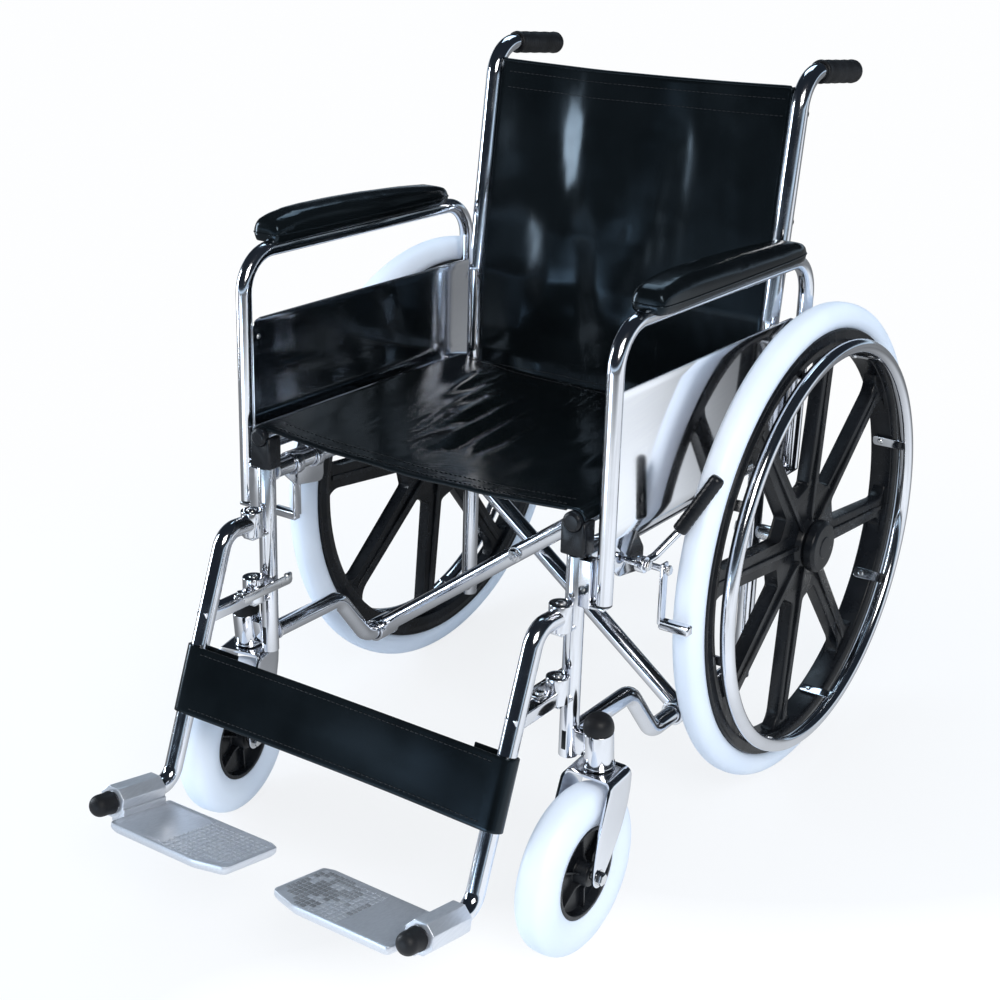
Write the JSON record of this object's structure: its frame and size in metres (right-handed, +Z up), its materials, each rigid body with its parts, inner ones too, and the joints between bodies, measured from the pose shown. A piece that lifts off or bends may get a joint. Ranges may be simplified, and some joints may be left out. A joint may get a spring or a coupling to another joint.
{
  "type": "folding wheelchair",
  "caption": "Folding wheelchair with spoked mag wheels, handrims, swivel casters, scissor cross brace, lift-off padded armrests and swing-away footrests.",
  "frame": {"origin": "on the floor, under the middle of the whole chair's outer box", "axes": "+Z up, the chair faces -Y, +X towards the sitter's left side; x = 0 is the middle plane"},
  "size_m": [0.6596, 1.0599, 0.8793],
  "materials": {
    "chrome_tube": "bright chrome plating",
    "cast_aluminium": "satin cast aluminium",
    "polished_sheet": "polished sheet metal",
    "grey_tyre": "smooth light grey solid tyre",
    "black_plastic": "moulded black nylon",
    "black_rubber": "soft black grip rubber",
    "black_vinyl": "black vinyl upholstery with a soft sheen"
  },
  "bodies": {
    "left_frame": {"left_back_post": "chrome_tube", "left_push_grip": "black_rubber", "left_front_post": "chrome_tube", "left_lower_rail": "chrome_tube", "left_upper_rail": "chrome_tube", "left_front_saddle": "black_plastic", "left_rear_saddle": "black_plastic", "left_caster_housing": "chrome_tube", "left_caster_cap": "black_rubber", "left_wheel_axle": "chrome_tube", "left_brake_bracket": "chrome_tube", "back_sling": "black_vinyl"},
    "right_frame": {"right_back_post": "chrome_tube", "right_push_grip": "black_rubber", "right_front_post": "chrome_tube", "right_lower_rail": "chrome_tube", "right_upper_rail": "chrome_tube", "right_front_saddle": "black_plastic", "right_rear_saddle": "black_plastic", "right_caster_housing": "chrome_tube", "right_caster_cap": "black_rubber", "right_wheel_axle": "chrome_tube", "right_brake_bracket": "chrome_tube"},
    "rear_arm": {"cross_arm_rear": "chrome_tube", "cross_pivot_bolt": "chrome_tube", "right_seat_rail": "chrome_tube", "seat_sling": "black_vinyl"},
    "front_arm": {"cross_arm_front": "chrome_tube", "left_seat_rail": "chrome_tube"},
    "left_wheel": {"left_tyre": "grey_tyre", "left_mag_wheel": "black_plastic", "left_handrim": "chrome_tube"},
    "right_wheel": {"right_tyre": "grey_tyre", "right_mag_wheel": "black_plastic", "right_handrim": "chrome_tube"},
    "left_fork": {"left_caster_fork": "chrome_tube"},
    "right_fork": {"right_caster_fork": "chrome_tube"},
    "left_caster": {"left_caster_tyre": "grey_tyre", "left_caster_hub": "black_plastic"},
    "right_caster": {"right_caster_tyre": "grey_tyre", "right_caster_hub": "black_plastic"},
    "left_armrest": {"left_armrest_tube": "chrome_tube", "left_arm_pad": "black_vinyl", "left_skirt_panel": "polished_sheet"},
    "right_armrest": {"right_armrest_tube": "chrome_tube", "right_arm_pad": "black_vinyl", "right_skirt_panel": "polished_sheet"},
    "left_footrest": {"left_footrest_hanger": "chrome_tube", "left_foot_bumper": "black_rubber", "calf_strap": "black_vinyl"},
    "right_footrest": {"right_footrest_hanger": "chrome_tube", "right_foot_bumper": "black_rubber"},
    "left_plate": {"left_footplate": "cast_aluminium"},
    "right_plate": {"right_footplate": "cast_aluminium"},
    "left_latch": {"left_footrest_latch": "chrome_tube"},
    "right_latch": {"right_footrest_latch": "chrome_tube"},
    "left_lever": {"left_brake_lever": "black_plastic"},
    "right_lever": {"right_brake_lever": "black_plastic"},
    "left_shoe": {"left_brake_shoe": "chrome_tube"},
    "right_shoe": {"right_brake_shoe": "chrome_tube"}
  },
  "joints": [
    {"name": "fold", "type": "hinge", "parent": "left_frame", "child": "rear_arm", "pos_m": [0.222, 0.0384, 0.13418], "axis": [0, 0.9949, -0.1011], "range_deg": [0, 40], "deforming": ["seat_sling", "back_sling", "calf_strap"]},
    {"name": "brace_pivot", "type": "hinge", "parent": "rear_arm", "child": "front_arm", "pos_m": [0, 0.01942, 0.30347], "axis": [0, 0.9949, -0.1011], "range_deg": [-80, 0]},
    {"name": "frame_follow", "type": "hinge", "parent": "front_arm", "child": "right_frame", "pos_m": [-0.222, 0.00259, 0.13782], "axis": [0, 0.9949, -0.1011], "range_deg": [0, 40]},
    {"name": "left_wheel_spin", "type": "hinge", "parent": "left_frame", "child": "left_wheel", "pos_m": [0.288, 0.225, 0.305], "axis": [1, 0, 0], "continuous": true},
    {"name": "right_wheel_spin", "type": "hinge", "parent": "right_frame", "child": "right_wheel", "pos_m": [-0.288, 0.225, 0.305], "axis": [1, 0, 0], "continuous": true},
    {"name": "left_caster_swivel", "type": "hinge", "parent": "left_frame", "child": "left_fork", "pos_m": [0.261, -0.213, 0.225], "axis": [0, 0, 1], "continuous": true},
    {"name": "right_caster_swivel", "type": "hinge", "parent": "right_frame", "child": "right_fork", "pos_m": [-0.261, -0.213, 0.225], "axis": [0, 0, 1], "continuous": true},
    {"name": "left_caster_spin", "type": "hinge", "parent": "left_fork", "child": "left_caster", "pos_m": [0.261, -0.266, 0.1], "axis": [1, 0, 0], "continuous": true},
    {"name": "right_caster_spin", "type": "hinge", "parent": "right_fork", "child": "right_caster", "pos_m": [-0.25317, -0.26542, 0.1], "axis": [0.989, 0.1478, 0], "continuous": true},
    {"name": "left_armrest_lift", "type": "slide", "parent": "left_frame", "child": "left_armrest", "axis": [0, 0.1011, 0.9949], "range_m": [0, 0.3]},
    {"name": "right_armrest_lift", "type": "slide", "parent": "right_frame", "child": "right_armrest", "axis": [0, 0.1011, 0.9949], "range_m": [0, 0.3]},
    {"name": "left_footrest_swing", "type": "hinge", "parent": "left_frame", "child": "left_footrest", "pos_m": [0.222, -0.22597, 0.39122], "axis": [0, 0.1011, 0.9949], "range_deg": [0, 90], "deforming": ["calf_strap"]},
    {"name": "right_footrest_swing", "type": "hinge", "parent": "right_frame", "child": "right_footrest", "pos_m": [-0.222, -0.22597, 0.39122], "axis": [0, -0.1011, -0.9949], "range_deg": [0, 90], "deforming": ["calf_strap"]},
    {"name": "left_plate_flip", "type": "hinge", "parent": "left_footrest", "child": "left_plate", "pos_m": [0.222, -0.46549, 0.13656], "axis": [0, 0.9588, -0.284], "range_deg": [0, 100]},
    {"name": "right_plate_flip", "type": "hinge", "parent": "right_footrest", "child": "right_plate", "pos_m": [-0.222, -0.46549, 0.13656], "axis": [0, -0.9588, 0.284], "range_deg": [0, 100]},
    {"name": "left_latch_turn", "type": "hinge", "parent": "left_footrest", "child": "left_latch", "pos_m": [0.217, -0.26333, 0.30053], "axis": [0, 0.1011, 0.9949], "range_deg": [0, 25]},
    {"name": "right_latch_turn", "type": "hinge", "parent": "right_footrest", "child": "right_latch", "pos_m": [-0.217, -0.26333, 0.30053], "axis": [0, -0.1011, -0.9949], "range_deg": [0, 25]},
    {"name": "left_brake_lock", "type": "hinge", "parent": "left_frame", "child": "left_lever", "pos_m": [0.257, -0.1141, 0.41403], "axis": [1, 0, 0], "range_deg": [0, 60]},
    {"name": "right_brake_lock", "type": "hinge", "parent": "right_frame", "child": "right_lever", "pos_m": [-0.257, -0.1141, 0.41403], "axis": [1, 0, 0], "range_deg": [0, 60]},
    {"name": "left_shoe_press", "type": "hinge", "parent": "left_frame", "child": "left_shoe", "pos_m": [0.27, -0.08745, 0.39926], "axis": [1, 0, 0], "range_deg": [0, 6]},
    {"name": "right_shoe_press", "type": "hinge", "parent": "right_frame", "child": "right_shoe", "pos_m": [-0.27, -0.08745, 0.39926], "axis": [1, 0, 0], "range_deg": [0, 6]}
  ],
  "couplings": [
    {"joint": "brace_pivot", "follows": "fold", "ratio": -2},
    {"joint": "frame_follow", "follows": "fold", "ratio": 1},
    {"joint": "left_plate_flip", "follows": "fold", "ratio": 2.5},
    {"joint": "right_plate_flip", "follows": "fold", "ratio": 2.5},
    {"joint": "left_shoe_press", "follows": "left_brake_lock", "ratio": 0.1},
    {"joint": "right_shoe_press", "follows": "right_brake_lock", "ratio": 0.1}
  ]
}
